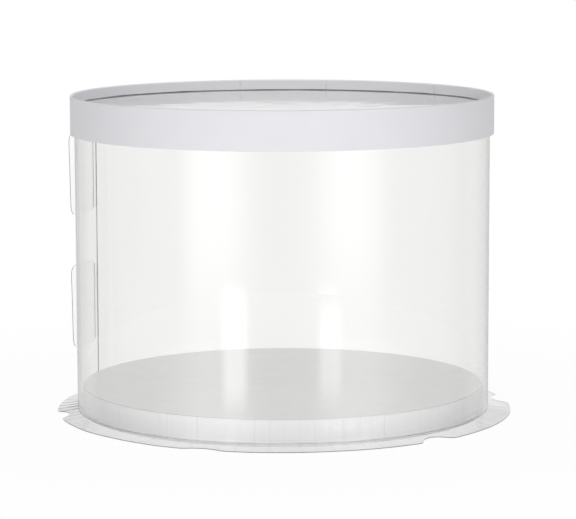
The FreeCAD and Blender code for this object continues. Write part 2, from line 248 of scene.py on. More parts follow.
def clear_material(name, dark, light, polish, haze, bend):
    """Clear sheet: an uneven tint, faint waves and scuffs, open to lamps and to bounced light."""
    material, tree, shader = new_finish(name)
    output = tree.nodes["Material Output"]
    coords = node(tree, "ShaderNodeTexCoord").outputs["Object"]
    drift = noise_value(tree, coords, DRIFT_SCALE, 3.0, DRIFT_STRETCH)
    scuffs = noise_value(tree, coords, SCUFF_SCALE, 6.0, SCUFF_STRETCH)
    tint = two_tones(tree, drift, dark, light)
    # Painted shade where the piece's crease mark is set.
    tint = scaled(tree, tint, crease_shade(tree, SHEET_CREASE_SHADE))
    tree.links.new(tint, shader.inputs["Base Color"])
    tree.links.new(between(tree, scuffs, 0.5, 0.8, polish, haze), shader.inputs["Roughness"])
    add_relief(tree, shader, drift, DRIFT_BUMP, DRIFT_DEPTH)
    shader.inputs["Transmission Weight"].default_value = 1.0
    shader.inputs["IOR"].default_value = bend
    path = node(tree, "ShaderNodeLightPath")
    open_to_light = node(tree, "ShaderNodeBsdfTransparent", {"Color": OPEN_TINT})
    bounced = node(tree, "ShaderNodeMixShader", {0: path.outputs["Is Diffuse Ray"]})
    tree.links.new(shader.outputs[0], bounced.inputs[1])
    tree.links.new(open_to_light.outputs[0], bounced.inputs[2])
    lit = node(tree, "ShaderNodeMixShader", {0: path.outputs["Is Shadow Ray"]})
    tree.links.new(bounced.outputs[0], lit.inputs[1])
    tree.links.new(open_to_light.outputs[0], lit.inputs[2])
    tree.links.new(lit.outputs[0], output.inputs["Surface"])
    return material


def cut_edge_material(name, dark, light, cover):
    """The clear sheet's edges: greyish, partly see-through, with fine drag marks of the blade."""
    material, tree, shader = new_finish(name)
    coords = node(tree, "ShaderNodeTexCoord").outputs["Object"]
    drags = noise_value(tree, coords, DRAG_SCALE, 4.0, DRAG_STRETCH)
    tree.links.new(two_tones(tree, drags, dark, light), shader.inputs["Base Color"])
    tree.links.new(between(tree, drags, 0.3, 0.7, 0.3, 0.5), shader.inputs["Roughness"])
    add_relief(tree, shader, drags, DRAG_BUMP, DRAG_DEPTH)
    shader.inputs["Alpha"].default_value = cover
    return material


# Each zone: low, high, near, far and how dark.
# Painted shade: the groove between the hem's foot and the window is darkened for the shadow in the
# gap.
HEM_GROOVE_SHADE = (
    WINDOW_TOP + 0.05 * MM, HEM_FOOT + CARD, LID_RADIUS - 1.2 * CARD, LID_RADIUS - CARD / 2, 0.85)
# Painted shade: the hem's recessed inner face is darkened for the light it loses inside the lid.
HEM_FACE_SHADE = (HEM_FOOT - CARD, LID_TOP - CARD, 0.0, LID_RADIUS - 1.5 * CARD, 0.10)
# Painted shade: the top of the folded edge is darkened, as if less lit from above.
FOLD_TOP_SHADE = (LID_TOP - 0.6 * MM, LID_TOP + MM, LID_RADIUS - 0.9 * CARD, LID_RADIUS + MM, 0.12)
# The board's side is darkened, partly for its bare core and partly as painted shade of the gap above
# the strip.
BARE_EDGE_AND_GAP_SHADE = (BOARD_FOOT, BOARD_TOP - 0.1 * MM, 0.0, PLATFORM_RADIUS, 0.2)

lid_card = card_material(
    "white_lid_card", (0.79, 0.79, 0.82), (0.80, 0.80, 0.83), 0.40, 0.46, 0.08, 0.15, 0.0,
    (HEM_GROOVE_SHADE, HEM_FACE_SHADE, FOLD_TOP_SHADE))
strip_card = card_material(
    "white_strip_card", (0.93, 0.93, 0.935), (0.945, 0.945, 0.95), 0.34, 0.44, 0.12, 0.35, 0.0)
film_board = card_material(
    "film_faced_board", (0.85, 0.85, 0.835), (0.86, 0.86, 0.845), 0.18, 0.22, 0.02, 0.35, 0.2,
    (BARE_EDGE_AND_GAP_SHADE,))
raw_board = card_material(
    "raw_grey_board", (0.42, 0.41, 0.38), (0.52, 0.50, 0.46), 0.75, 0.9, 0.5, 0.35, 0.0)
wall_clear = clear_material(
    "clear_wall_sheet", (0.986, 0.988, 0.980), (0.996, 0.997, 0.990), 0.0, 0.05, 1.57)
window_clear = clear_material(
    "clear_window_sheet", (0.98, 0.985, 0.98), (0.992, 0.995, 0.991), 0.0, 0.02, 1.57)
brim_clear = clear_material(
    "clear_brim_sheet", (0.935, 0.937, 0.931), (0.955, 0.957, 0.951), 0.0, 0.10, 1.57)
flap_clear = clear_material(
    "clear_flap_sheet", (0.98, 0.982, 0.975), (0.99, 0.991, 0.985), 0.0, 0.06, 1.28)
cut_edge = cut_edge_material(
    "clear_cut_edge", (0.40, 0.40, 0.39), (0.50, 0.50, 0.49), 0.4)
brim_rim = cut_edge_material(
    "clear_brim_rim", (0.45, 0.45, 0.43), (0.55, 0.55, 0.53), 0.14)
neck_bend = cut_edge_material(
    "clear_neck_bend", (0.55, 0.55, 0.54), (0.65, 0.65, 0.64), 0.04)
# Painted shade: a dark, half-open band on the wall's outer face at its foot, for the shadow and dark
# edge where the wall meets the brim.
foot_shade_band = cut_edge_material(
    "clear_wall_foot", (0.20, 0.20, 0.21), (0.28, 0.28, 0.29), 0.45)


# Shapes

def new_piece(name, mesh):
    """A piece at the origin with this mesh."""
    piece = bpy.data.objects.new(name, mesh)
    bpy.context.scene.collection.objects.link(piece)
    return piece


def settle(piece, crease=40.0):
    """Turn the piece with its modifiers into a plain smooth mesh with crisp edges."""
    graph = bpy.context.evaluated_depsgraph_get()
    graph.update()
    settled = bpy.data.meshes.new_from_object(piece.evaluated_get(graph))
    piece.modifiers.clear()
    piece.data = settled
    settled.name = piece.name
    tidy = bmesh.new()
    tidy.from_mesh(settled)
    bmesh.ops.recalc_face_normals(tidy, faces=tidy.faces)
    tidy.to_mesh(settled)
    tidy.free()
    finishes = [finish for finish in settled.materials if finish]
    if len(finishes) == 1:
        settled.materials.clear()
        settled.materials.append(finishes[0])
        settled.polygons.foreach_set("material_index", [0] * len(settled.polygons))
    settled.polygons.foreach_set("use_smooth", [True] * len(settled.polygons))
    settled.set_sharp_from_angle(angle=math.radians(crease))
    return piece


def named_inputs(tree, wanted):
    """Give a geometry tree its named inputs, and say which identifier each one has."""
    found = {}
    for label, kind in wanted:
        socket = tree.interface.new_socket(label, in_out="INPUT", socket_type="NodeSocket" + kind)
        found[label] = socket.identifier
    tree.interface.new_socket("Geometry", in_out="OUTPUT", socket_type="NodeSocketGeometry")
    return found


def end_tree(tree, geometry, material):
    """Close a geometry tree with real faces of one material."""
    real = node(tree, "GeometryNodeRealizeInstances", {"Geometry": geometry}).outputs[0]
    painted = node(tree, "GeometryNodeSetMaterial", {"Geometry": real, "Material": material})
    output = node(tree, "NodeGroupOutput")
    tree.links.new(painted.outputs[0], output.inputs[0])


def turned_profile_tree():
    """A profile turned about Z: the grid's columns go round and its rows follow the profile."""
    tree = bpy.data.node_groups.new("turned_profile", "GeometryNodeTree")
    wanted = (
        ("Profile", "Object"), ("Segments", "Int"), ("Wave Height", "Float"),
        ("Wave Scale", "Float"), ("Seed", "Float"), ("Material", "Material"))
    found = named_inputs(tree, wanted)
    given = node(tree, "NodeGroupInput").outputs
    profile = node(tree, "GeometryNodeObjectInfo", {"Object": given["Profile"]}).outputs["Geometry"]
    size = node(tree, "GeometryNodeAttributeDomainSize", {"Geometry": profile}, component="MESH")
    rows = size.outputs["Point Count"]
    columns = maths(tree, "ADD", given["Segments"], 1.0)
    grid = node(tree, "GeometryNodeMeshGrid", {"Vertices X": columns, "Vertices Y": rows})
    index = node(tree, "GeometryNodeInputIndex").outputs[0]
    column = maths(tree, "FLOOR", maths(tree, "DIVIDE", index, rows))
    row = maths(tree, "SUBTRACT", index, maths(tree, "MULTIPLY", column, rows))
    place = node(tree, "GeometryNodeInputPosition").outputs[0]
    sample = node(
        tree, "GeometryNodeSampleIndex", {"Geometry": profile, "Index": row},
        data_type="FLOAT_VECTOR", domain="POINT")
    tree.links.new(place, sample.inputs["Value"])
    point = node(tree, "ShaderNodeSeparateXYZ", {0: sample.outputs[0]})
    angle = maths(tree, "DIVIDE", maths(tree, "MULTIPLY", column, TURN), given["Segments"])
    across = maths(tree, "COSINE", angle)
    along = maths(tree, "SINE", angle)
    round_place = node(tree, "ShaderNodeCombineXYZ", {0: across, 1: along, 2: given["Seed"]})
    wave = node(tree, "ShaderNodeTexNoise", {
        "Vector": round_place.outputs[0], "Scale": given["Wave Scale"], "Detail": 2.0})
    swing = maths(tree, "SUBTRACT", wave.outputs["Fac"], 0.5)
    radius = maths(tree, "MULTIPLY_ADD", swing, given["Wave Height"], point.outputs["X"])
    turned_place = node(tree, "ShaderNodeCombineXYZ", {
        0: maths(tree, "MULTIPLY", radius, across),
        1: maths(tree, "MULTIPLY", radius, along),
        2: point.outputs["Z"]})
    shaped = node(tree, "GeometryNodeSetPosition", {
        "Geometry": grid.outputs["Mesh"], "Position": turned_place.outputs[0]})
    joined = node(tree, "GeometryNodeMergeByDistance", {
        "Geometry": shaped.outputs[0], "Distance": 0.002 * MM})
    end_tree(tree, joined.outputs[0], given["Material"])
    return tree, found


TURNED, TURNED_INPUT = turned_profile_tree()


def rounded(corners, steps=4):
    """An outline through (radius, height, rounding) corners, each rounded by an arc."""
    outline = []
    count = len(corners)
    for place, (radius, height, rounding) in enumerate(corners):
        here = Vector((radius, height))
        if not rounding:
            outline.append(here)
            continue
        back = (Vector(corners[place - 1][:2]) - here).normalized()
        ahead = (Vector(corners[(place + 1) % count][:2]) - here).normalized()
        opening = back.angle(ahead)
        run = rounding / math.tan(opening / 2)
        centre = here + (back + ahead).normalized() * (rounding / math.sin(opening / 2))
        start = here + back * run - centre
        end = here + ahead * run - centre
        sweep = start.angle_signed(end)
        for step in range(steps + 1):
            outline.append(centre + Matrix.Rotation(-sweep * step / steps, 2) @ start)
    return outline


def turned(name, outline, material, segments=360, wave=0.0, wave_scale=2.0, seed=0.0):
    """A round piece turned from its section by the geometry tree."""
    section = bpy.data.meshes.new(name + "_section")
    section.from_pydata([(p[0], 0.0, p[1]) for p in outline], [], [])
    profile = new_piece(name + "_section", section)
    piece = new_piece(name, bpy.data.meshes.new(name))
    turn = piece.modifiers.new("turned", "NODES")
    turn.node_group = TURNED
    turn[TURNED_INPUT["Profile"]] = profile
    turn[TURNED_INPUT["Segments"]] = segments
    turn[TURNED_INPUT["Wave Height"]] = wave
    turn[TURNED_INPUT["Wave Scale"]] = wave_scale
    turn[TURNED_INPUT["Seed"]] = seed
    turn[TURNED_INPUT["Material"]] = material
    settle(piece)
    bpy.data.objects.remove(profile)
    return piece


def closed(outline):
    """An outline that ends where it starts."""
    return outline + outline[:1]


def strip_section(outer, thickness, foot, top, edge):
    """The section of a plain strip of board bent into a ring."""
    inner = outer - thickness
    corners = ((inner, foot, edge), (outer, foot, edge), (outer, top, edge), (inner, top, edge))
    return closed(rounded(corners, 3))


def disc_section(outer, foot, top, edge, rings):
    """The section of a disc from its axis: rings below, the edge, and rings above."""
    rim = rounded(((0, foot, 0), (outer, foot, edge), (outer, top, edge), (0, top, 0)), 4)
    inner = outer - 2 * edge - MM
    steps = [inner * step / rings for step in range(1, rings + 1)]
    below = [Vector((radius, foot)) for radius in steps]
    above = [Vector((radius, top)) for radius in reversed(steps)]
    return [rim[0], *below, *rim[1:-1], *above, rim[-1]]


def spoke_of(point):
    """Angle and radius of a point about the axis of the box."""
    return math.atan2(point.y, point.x), math.hypot(point.x, point.y)


def put(point, angle, radius):
    """Move a point to this angle and radius."""
    point.x = radius * math.cos(angle)
    point.y = radius * math.sin(angle)


def round_noise(angle, waves, seed, height=0.0):
    """Smooth noise that closes on itself round the box, about -1 to 1."""
    place = Vector((math.cos(angle) * waves, math.sin(angle) * waves, height + seed))
    return noise.noise(place)


def bell(value, half):
    """One at zero, falling softly to nothing on both sides."""
    return math.exp(-(value / half) ** 2)


# The hem's unevenness in millimetres, and its creases' places and widths in degrees.
HEM_RIPPLE = 0.10
HEM_CRINKLE = 0.14
HEM_EDGE_WAVE = 0.25
RIDGE_HEIGHT, RIDGE_HALF = 0.5, 0.4
DIP_DEPTH, DIP_PLACE, DIP_HALF = 0.3, 1.0, 0.6
# Painted shade along the hem's creases: how dark, and its half width in degrees.
HEM_CREASE_SHADE, HEM_CREASE_SHADE_HALF = 0.6, 0.3


def press_hem(piece):
    """Crease the folded hem where the card was pressed over, paint shade along the creases, and let
    it stand off unevenly.
    """
    inner = LID_RADIUS - 2 * CARD
    crease = piece.data.attributes.new("crease", "FLOAT", "POINT")
    for vertex, mark in zip(piece.data.vertices, crease.data):
        angle, radius = spoke_of(vertex.co)
        loose = 1 - min(1.0, max(0.0, (radius - inner) / CARD))
        down = (LID_TOP - vertex.co.z) / (LID_TOP - HEM_FOOT)
        if down > 1.1 or loose <= 0:
            continue
        dent = HEM_RIPPLE * round_noise(angle, 14.0, 3.1)
        dent += HEM_CRINKLE * round_noise(angle, 40.0, 7.7)
        for degrees, top, foot in HEM_CREASES:
            gap = (math.degrees(angle) - degrees + 180) % 360 - 180
            dent += RIDGE_HEIGHT * bell(gap, RIDGE_HALF) - DIP_DEPTH * bell(gap - DIP_PLACE, DIP_HALF)
            if top <= down <= foot:
                # The crease mark paints shade along the crease.
                mark.value = max(mark.value, HEM_CREASE_SHADE * bell(gap, HEM_CREASE_SHADE_HALF))
        put(vertex.co, angle, radius + loose * max(0.0, down) * dent * MM)
        vertex.co.z += HEM_EDGE_WAVE * MM * round_noise(angle, 7.0, 6.3) * max(0.0, down) ** 3


HEM_ROWS = (0.3, 0.5, 0.7, 0.85)
LID_SEGMENTS = 1080
LID_WAVE = 0.16 * MM


def lid_band():
    """The lid's strip of card with its top edge folded in as a hem."""
    inner = LID_RADIUS - CARD
    hem = inner - CARD
    corners = (
        (inner, LID_FOOT, CARD_EDGE),
        (LID_RADIUS, LID_FOOT, CARD_EDGE),
        (LID_RADIUS, LID_TOP, CARD),
        (hem, LID_TOP, CARD),
        *[(hem, LID_TOP + (HEM_FOOT - LID_TOP) * share, 0) for share in HEM_ROWS],
        (hem, HEM_FOOT, CARD_EDGE),
        (inner, HEM_FOOT, 0))
    outline = closed(rounded(corners, 6))
    band = turned("folded_lid_band", outline, lid_card, LID_SEGMENTS, LID_WAVE, 2.2, 1.7)
    press_hem(band)
    return band


def lid_liner():
    """The ring of card glued inside the lid, on which the window lies."""
    section = strip_section(LINER_RADIUS, LINER_CARD, LINER_FOOT, LINER_TOP, CARD_EDGE)
    return turned("lid_liner_ring", section, strip_card)


WINDOW_RINGS = 48
WINDOW_EDGE = 0.04 * MM
WINDOW_WAVE = 0.10 * MM
WINDOW_RIPPLE = 0.05 * MM


def lid_window():
    """The lid's clear disc, sagging a little towards its middle and not quite flat."""
    section = disc_section(WINDOW_RADIUS, WINDOW_FOOT, WINDOW_TOP, WINDOW_EDGE, WINDOW_RINGS)
    window = turned("lid_window_sheet", section, window_clear)
    for vertex in window.data.vertices:
        share = max(0.0, 1 - (math.hypot(vertex.co.x, vertex.co.y) / WINDOW_HOLD) ** 2)
        flat_place = Vector((vertex.co.x, vertex.co.y, 0))
        ripple = WINDOW_WAVE * noise.noise(flat_place * 18)
        ripple += WINDOW_RIPPLE * noise.noise(flat_place * 70)
        vertex.co.z += min(1.0, 4 * share) * ripple - WINDOW_SAG * share
    return window


def platform_board():
    """The film-faced disc that carries the cake."""
    inside = PLATFORM_RADIUS - STRIP_CARD - 0.05 * MM
    section = disc_section(inside, BOARD_FOOT, BOARD_TOP, CARD_EDGE, 6)
    return turned("platform_board", section, film_board)


STRIP_DROP = 0.5 * MM
STRIP_SEGMENTS = 1440
STRIP_WAVE = 0.05 * MM
# Painted shade in the tooth gaps, and stray lines of painted shade and painted highlight.
TOOTH_GAP_SHADE, TOOTH_GAP_SHADE_EXTRA = 0.22, 0.7
TOOTH_GAP_SHADE_HALF = 0.6 * MM
STRAY_FLOOR = 0.10
STRAY_SHADE, STRAY_GLINT = 2.0, 1.2


def platform_strip():
    """The strip of card round the platform's side, with painted shade in the gaps between the brim's
    glue teeth and stray lines of painted shade and highlight.
    """
    top = BOARD_TOP - STRIP_DROP
    section = strip_section(PLATFORM_RADIUS, STRIP_CARD, TABLE, top, CARD_EDGE)
    strip = turned("platform_strip", section, strip_card, STRIP_SEGMENTS, STRIP_WAVE, 3.0, 4.4)
    pitch = TURN / TOOTH_COUNT
    crease = strip.data.attributes.new("crease", "FLOAT", "POINT")
    for vertex, mark in zip(strip.data.vertices, crease.data):
        angle = spoke_of(vertex.co)[0]
        off = abs((angle - NOTCH_TURN + pitch / 2) % pitch - pitch / 2)
        # Painted shade in the gap between two glue teeth, stronger in some places.
        pressed = TOOTH_GAP_SHADE + TOOTH_GAP_SHADE_EXTRA * max(0.0, round_noise(angle, 11.0, 4.0))
        line = pressed * max(0.0, 1 - off * PLATFORM_RADIUS / TOOTH_GAP_SHADE_HALF)
        # Stray painted lines: shade where the noise is high, highlight where it is low.
        patch = max(0.0, 0.3 + round_noise(angle, 4.0, 2.5))
        stray = patch * round_noise(angle, 62.0, 6.0)
        dark = STRAY_SHADE * max(0.0, stray - STRAY_FLOOR)
        light = STRAY_GLINT * max(0.0, -stray - STRAY_FLOOR)
        mark.value = line + dark - light
    return strip


def platform_hoop():
    """The raw board hoop glued inside the strip under the disc."""
    section = strip_section(HOOP_RADIUS, HOOP_CARD, HOOP_FOOT, HOOP_TOP, CARD_EDGE)
    return turned("platform_hoop_ring", section, raw_board)


BRIM_SEGMENTS = 1440
BRIM_STEPS = 12
COLLAR_STEP = 0.2 * MM
FALL_POWER = 1.6
GATHER_HALF = 0.25
# Painted shade along the skirt's folds, wider and stronger where they gather on the -X side.
FOLD_HALF, FOLD_HALF_EXTRA = 0.8 * MM, 0.5 * MM
FOLD_PRESS, FOLD_PRESS_EXTRA = 0.12, 2.3
FOLD_SHADE = 0.7
# Painted shade on the skirt's front, towards -Y.
FRONT_SHADE, FRONT_SHADE_HALF = 0.22, 0.8
# Waves and creases of the skirt in millimetres.
SKIRT_RIPPLE, SKIRT_CRINKLE = 0.25, 0.10
FOLD_DEPTH = 0.25
EDGE_LIFT = 0.2


def brim_edge(angle):
    """The brim's outer radius at this angle, less where a ribbon notch is scooped out."""
    step = TURN / NOTCH_COUNT
    place = round((angle - NOTCH_TURN) / step)
    off = angle - NOTCH_TURN - place * step
    rim = BRIM_RADIUS + BRIM_SHIFT * math.cos(angle)
    side = NOTCH_CENTRE * math.sin(off)
    if abs(side) >= NOTCH_ROUND:
        return rim
    scoop = NOTCH_CENTRE * math.cos(off) - math.sqrt(NOTCH_ROUND ** 2 - side ** 2)
    depth = SHALLOW if place % NOTCH_COUNT == SHALLOW_NOTCH else 1.0
    return rim - depth * max(0.0, rim - scoop)


def brim_fall(share):
    """Height of the skirt's underside at this share of the way from its bend to its edge."""
    return BEND_RISE * max(0.0, 1 - share) ** FALL_POWER


def shape_skirt(piece):
    """Scoop the ribbon notches out of the skirt, crease it below its glue teeth, and paint shade
    along the folds and on its front.
    """
    pitch = TURN / TOOTH_COUNT
    folds = piece.data.attributes.new("crease", "FLOAT", "POINT")
    for vertex, mark in zip(piece.data.vertices, folds.data):
        angle, radius = spoke_of(vertex.co)
        share = (radius - BEND_RADIUS) / (BRIM_RADIUS - BEND_RADIUS)
        if share <= 0:
            continue
        rim = sum(brim_edge(angle + turn) for turn in NOTCH_SOFTENING) / len(NOTCH_SOFTENING)
        edge = BEND_RADIUS + share * (rim - BEND_RADIUS)
        nearer = (edge - BEND_RADIUS) / (BRIM_RADIUS - BEND_RADIUS)
        vertex.co.z += brim_fall(nearer) - brim_fall(share)
        off = (angle - NOTCH_TURN + pitch / 2) % pitch - pitch / 2
        gathered = bell(abs(angle) - math.pi, GATHER_HALF)
        crease = bell(off * radius, FOLD_HALF + FOLD_HALF_EXTRA * gathered)
        pressed = FOLD_PRESS + FOLD_PRESS_EXTRA * gathered
        crease *= pressed * (0.6 + 0.6 * round_noise(angle, 60.0, 2.0))
        # Painted shade on the front of the skirt, towards -Y.
        haze = FRONT_SHADE * bell(angle + math.pi / 2, FRONT_SHADE_HALF)
        mark.value = min(1.0, FOLD_SHADE * crease + haze)
        ripple = SKIRT_RIPPLE * round_noise(angle, 9.0, 5.0)
        ripple += SKIRT_CRINKLE * round_noise(angle, 30.0, 8.0)
        arch = 4 * share * (1 - share)
        fold = FOLD_DEPTH * crease * (1 - share) * min(1.0, 4 * share)
        vertex.co.z += MM * (arch * ripple - fold)
        vertex.co.z += MM * share * (EDGE_LIFT + EDGE_LIFT * round_noise(angle, 5.0, 1.0))
        put(vertex.co, angle, edge)


def brim_skirt():
    """The clear skirt that falls from the platform's side and lies flatter towards its edge."""
    collar = []
    for height in spread(BEND_RISE + SHEET, TOOTH_FOOT, COLLAR_STEP):
        down = (TOOTH_FOOT - height) / (TOOTH_FOOT - BEND_RISE - SHEET)
        collar.append(Vector((COLLAR_OUTER + COLLAR_FLARE * down ** 2, height)))
    top = []
    for step in range(1, BRIM_STEPS + 1):
        share = step / BRIM_STEPS
        radius = BEND_RADIUS + (BRIM_RADIUS - BEND_RADIUS) * share
        top.append(Vector((radius, SHEET + brim_fall(share))))
    outer = list(reversed(collar[1:])) + top
    inner = [point - Vector((0, SHEET)) for point in reversed(top)]
    inner += [Vector((COLLAR_INNER, point.y)) for point in collar]
    skirt = turned("brim_skirt", closed(outer + inner), brim_clear, BRIM_SEGMENTS)
    skirt.data.materials.append(brim_rim)
    rim = [spoke_of(vertex.co)[1] > BRIM_RADIUS - 0.01 * MM for vertex in skirt.data.vertices]
    for face in skirt.data.polygons:
        face.material_index = int(all(rim[vertex] for vertex in face.vertices))
    shape_skirt(skirt)
    return skirt


TOOTH_TAPER = 0.1
TOOTH_LEAN = 0.012
TOOTH_SEED = 11
THIN_POWER = 6.0
THIN_SHARE = 0.8


def glue_teeth_tree():
    """Upturned teeth round the platform, each leaning a little in its own way."""
    tree = bpy.data.node_groups.new("glue_teeth", "GeometryNodeTree")
    wanted = (
        ("Count", "Int"), ("Radius", "Float"), ("Turn", "Float"), ("Thickness", "Float"),
        ("Width", "Float"), ("Foot", "Float"), ("Height", "Float"), ("Taper", "Float"),
        ("Lean", "Float"), ("Seed", "Int"), ("Material", "Material"))
    found = named_inputs(tree, wanted)
    given = node(tree, "NodeGroupInput").outputs
    ring = node(tree, "GeometryNodeMeshCircle", {
        "Vertices": given["Count"], "Radius": given["Radius"]})
    size = node(tree, "ShaderNodeCombineXYZ", {
        0: given["Thickness"], 1: given["Width"], 2: given["Height"]})
    plate = node(tree, "GeometryNodeMeshCube", {
        "Size": size.outputs[0], "Vertices X": 2, "Vertices Y": 7, "Vertices Z": 4})
    place = node(tree, "ShaderNodeSeparateXYZ", {
        0: node(tree, "GeometryNodeInputPosition").outputs[0]})
    rise = maths(tree, "ADD", maths(tree, "DIVIDE", place.outputs["Z"], given["Height"]), 0.5)
    narrow = maths(tree, "SUBTRACT", 1.0, maths(tree, "MULTIPLY", rise, given["Taper"]))
    side = maths(tree, "MULTIPLY", place.outputs["Y"], narrow)
    sag = maths(tree, "DIVIDE", maths(tree, "MULTIPLY", side, side), given["Radius"])
    reach_out = maths(tree, "DIVIDE", maths(tree, "ABSOLUTE", place.outputs["Y"]), given["Width"])
    thin_side = maths(tree, "POWER", maths(tree, "MULTIPLY", reach_out, 2.0), THIN_POWER)
    thin = maths(tree, "MAXIMUM", thin_side, maths(tree, "POWER", rise, THIN_POWER))
    slim = maths(tree, "MULTIPLY_ADD", thin, -THIN_SHARE, 1.0)
    half_out = maths(tree, "MULTIPLY_ADD", given["Thickness"], 0.5, place.outputs["X"])
    outward = maths(tree, "MULTIPLY", half_out, slim)
    bent = maths(tree, "MULTIPLY_ADD", sag, -0.5, outward)
    lifted = maths(tree, "MULTIPLY_ADD", given["Height"], 0.5, place.outputs["Z"])
    curved = node(tree, "ShaderNodeCombineXYZ", {0: bent, 1: side, 2: lifted})
    tooth = node(tree, "GeometryNodeSetPosition", {
        "Geometry": plate.outputs["Mesh"], "Position": curved.outputs[0]})
    stand = node(tree, "ShaderNodeSeparateXYZ", {
        0: node(tree, "GeometryNodeInputPosition").outputs[0]})
    facing = maths(tree, "ARCTAN2", stand.outputs["Y"], stand.outputs["X"])
    lean = node(tree, "FunctionNodeRandomValue", {
        "Min": 0.0, "Max": given["Lean"], "Seed": given["Seed"]}, data_type="FLOAT")
    euler = node(tree, "ShaderNodeCombineXYZ", {1: lean.outputs["Value"], 2: facing})
    rotation = node(tree, "FunctionNodeEulerToRotation", {0: euler.outputs[0]})
    placed = node(tree, "GeometryNodeInstanceOnPoints", {
        "Points": ring.outputs["Mesh"], "Instance": tooth.outputs[0],
        "Rotation": rotation.outputs[0]})
    spin = node(tree, "ShaderNodeCombineXYZ", {2: given["Turn"]})
    raised = node(tree, "ShaderNodeCombineXYZ", {2: given["Foot"]})
    moved = node(tree, "GeometryNodeTransform", {
        "Geometry": placed.outputs[0], "Translation": raised.outputs[0],
        "Rotation": node(tree, "FunctionNodeEulerToRotation", {0: spin.outputs[0]}).outputs[0]})
    end_tree(tree, moved.outputs[0], given["Material"])
    return tree, found


def brim_teeth():
    """The brim's ring of glue teeth, seen as faint creases through the wall."""
    tree, found = glue_teeth_tree()
    pitch = TURN / TOOTH_COUNT
    teeth = new_piece("brim_glue_teeth", bpy.data.meshes.new("brim_glue_teeth"))
    repeat = teeth.modifiers.new("teeth", "NODES")
    repeat.node_group = tree
    repeat[found["Count"]] = TOOTH_COUNT
    repeat[found["Radius"]] = COLLAR_INNER
    repeat[found["Turn"]] = NOTCH_TURN + pitch / 2
    repeat[found["Thickness"]] = COLLAR_OUTER - COLLAR_INNER
    repeat[found["Width"]] = pitch * COLLAR_INNER - TOOTH_GAP
    repeat[found["Foot"]] = TOOTH_FOOT
    repeat[found["Height"]] = TOOTH_TOP - TOOTH_FOOT
    repeat[found["Taper"]] = TOOTH_TAPER
    repeat[found["Lean"]] = TOOTH_LEAN
    repeat[found["Seed"]] = TOOTH_SEED
    repeat[found["Material"]] = flap_clear
    return settle(teeth)


def eased(share):
    """A soft step from 0 to 1."""
    share = min(1.0, max(0.0, share))
    return share * share * (3 - 2 * share)


def wall_section(degrees):
    """Inner and outer radius of the rolled sheet at this angle past its inner end.

    It starts a layer further out, settles back to one layer, and ends lapped under its start.
    """
    inner = WALL_RADIUS - SHEET
    lifted = LAYER_STEP * (1 - eased((degrees - CREST_ANGLE) / (FADE_ANGLE - CREST_ANGLE)))
    lapped = LAYER_STEP * eased((degrees - LAP_START) / LAP_RAMP)
    return inner + lifted, inner + SHEET + max(lifted, lapped)


# The wall's columns are spaced in degrees; it bellies and ripples in millimetres.
WALL_COLUMN = 0.8
WALL_ROW = 9 * MM
WALL_BELLY = 0.16
WALL_RIPPLE = 0.05


def wall_wave(degrees, height):
    """How far the sheet bellies in or out at this place."""
    share = (height - WALL_FOOT) / (WALL_TOP - WALL_FOOT)
    calm = math.sin(math.pi * share) ** 0.5 if 0 < share < 1 else 0.0
    angle = math.radians(degrees)
    broad = round_noise(angle, 2.4, 9.0, height * 3)
    fine = round_noise(angle, 9.0, 4.0, height * 5)
    return calm * MM * (WALL_BELLY * broad + WALL_RIPPLE * fine)


def spread(start, end, step):
    """Evenly spaced values from start to end, at most one step apart."""
    count = max(1, math.ceil((end - start) / step - 1e-6))
    return [start + (end - start) * place / count for place in range(count + 1)]


def through(stops, step):
    """Values from the first stop to the last that meet every stop between."""
    values = [stops[0]]
    for start, end in zip(stops, stops[1:]):
        values.extend(spread(start, end, step)[1:])
    return values


def thicken(name, mesh, material, crease, thickness):
    """A piece of clear sheet with its thickness and cut edges, turned to the seam's place."""
    bmesh.ops.remove_doubles(mesh, verts=mesh.verts, dist=0.001 * MM)
    mesh.transform(Matrix.Rotation(SEAM_TURN, 4, "Z"))
    sheet = bpy.data.meshes.new(name)
    mesh.to_mesh(sheet)
    mesh.free()
    piece = new_piece(name, sheet)
    for finish in (material, cut_edge, neck_bend, foot_shade_band):
        sheet.materials.append(finish)
    if thickness:
        solid = piece.modifiers.new("thickness", "SOLIDIFY")
        solid.thickness = thickness
        solid.offset = 0.0
        solid.material_offset_rim = 1
    return settle(piece, crease)


# FOOT is the slot of the painted shade band at the wall's foot.
CUT, NECK, FOOT = 1, 2, 3
TAB_SPANS = {}
for level in ("upper", "lower"):
    tab_low, tab_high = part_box(level + "_lock_tab")
    TAB_SPANS[level] = (tab_low.z, tab_high.z)


def neck_section():
    """Near and far points of a neck's section, from the sheet's end out through its slit."""
    middle = WALL_RADIUS - SHEET / 2
    turn_start = SLIT_OFFSET - NECK_BEND
    path = [(Vector((middle, y)), Vector((1, 0))) for y in (0.0, turn_start / 2, turn_start)]
    for step in range(1, 5):
        angle = math.radians(90 * step / 4)
        swing = Vector((1 - math.cos(angle), math.sin(angle))) * NECK_BEND
        across = Vector((math.cos(angle), -math.sin(angle)))
        path.append((Vector((middle, turn_start)) + swing, across))
    path.append((Vector((TAB_MIDDLE - 0.8 * SHEET, SLIT_OFFSET)), Vector((0, -1))))
    return [(point - across * SHEET / 2, point + across * SHEET / 2) for point, across in path]


def wall_angles():
    """The wall's columns in degrees past its inner end, with one at each edge of the slits."""
    slit_near = math.degrees((SLIT_OFFSET - SLIT_WIDTH / 2) / WALL_RADIUS)
    slit_far = math.degrees((SLIT_OFFSET + SLIT_WIDTH / 2) / WALL_RADIUS)
    stops = (0.0, slit_near, slit_far, CREST_ANGLE, FADE_ANGLE)
    stops += (LAP_START, LAP_START + LAP_RAMP, 360.0)
    return through(stops, WALL_COLUMN), slit_near, slit_far


